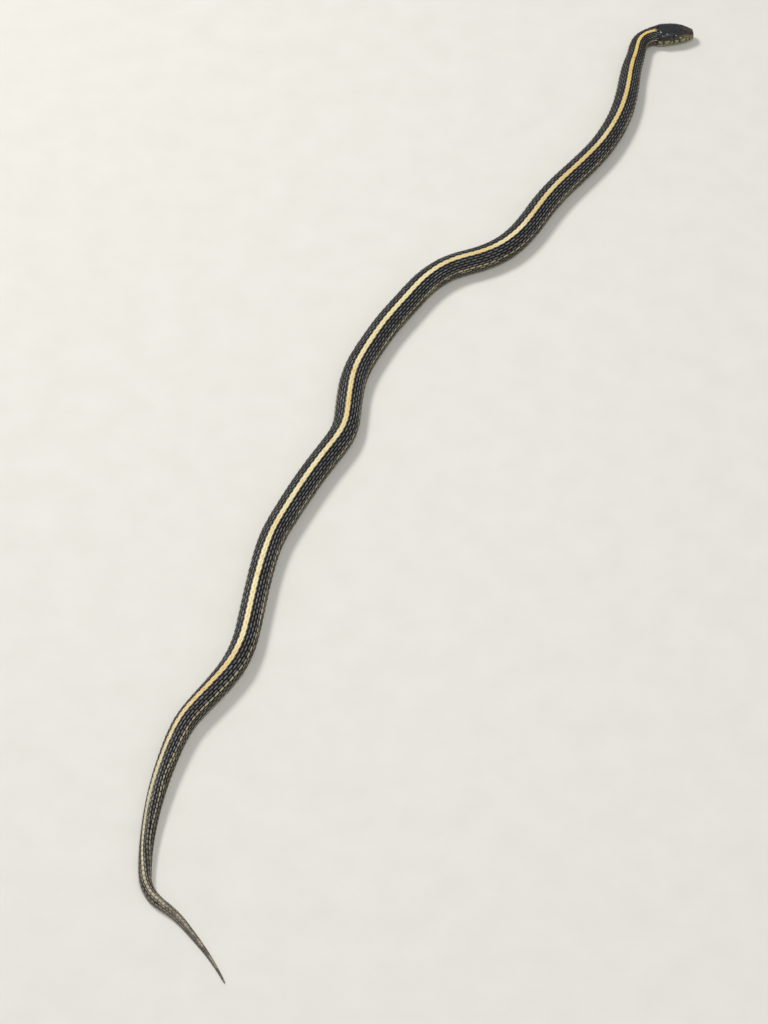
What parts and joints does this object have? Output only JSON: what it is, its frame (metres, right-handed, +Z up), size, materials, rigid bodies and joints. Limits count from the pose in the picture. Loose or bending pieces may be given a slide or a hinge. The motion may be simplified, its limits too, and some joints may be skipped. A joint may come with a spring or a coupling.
{
  "type": "garter snake",
  "caption": "Life-size still model of a slender garter snake lying on its belly in loose bends, with its head close to the ground.",
  "frame": {"origin": "on the floor, below the middle of the snake's outline", "axes": "+Z up, the head points to +X, the body runs towards -Y to the tail"},
  "size_m": [0.2716, 0.5772, 0.0105],
  "materials": {
    "scaly_back": "satin, keeled scales, dark with three pale stripes",
    "head_shields": "glossy smooth shields",
    "jaw_shields": "smooth pale shields",
    "eye": "wet gloss"
  },
  "bodies": {
    "root": {"head": "head_shields", "lower_jaw": "jaw_shields", "eye_right": "eye", "eye_left": "eye", "neck": "scaly_back", "trunk_1": "scaly_back", "trunk_2": "scaly_back", "trunk_3": "scaly_back", "trunk_4": "scaly_back", "trunk_5": "scaly_back", "trunk_6": "scaly_back", "trunk_7": "scaly_back", "trunk_8": "scaly_back", "tail_base": "scaly_back", "tail_middle": "scaly_back", "tail_end": "scaly_back"}
  },
  "joints": []
}
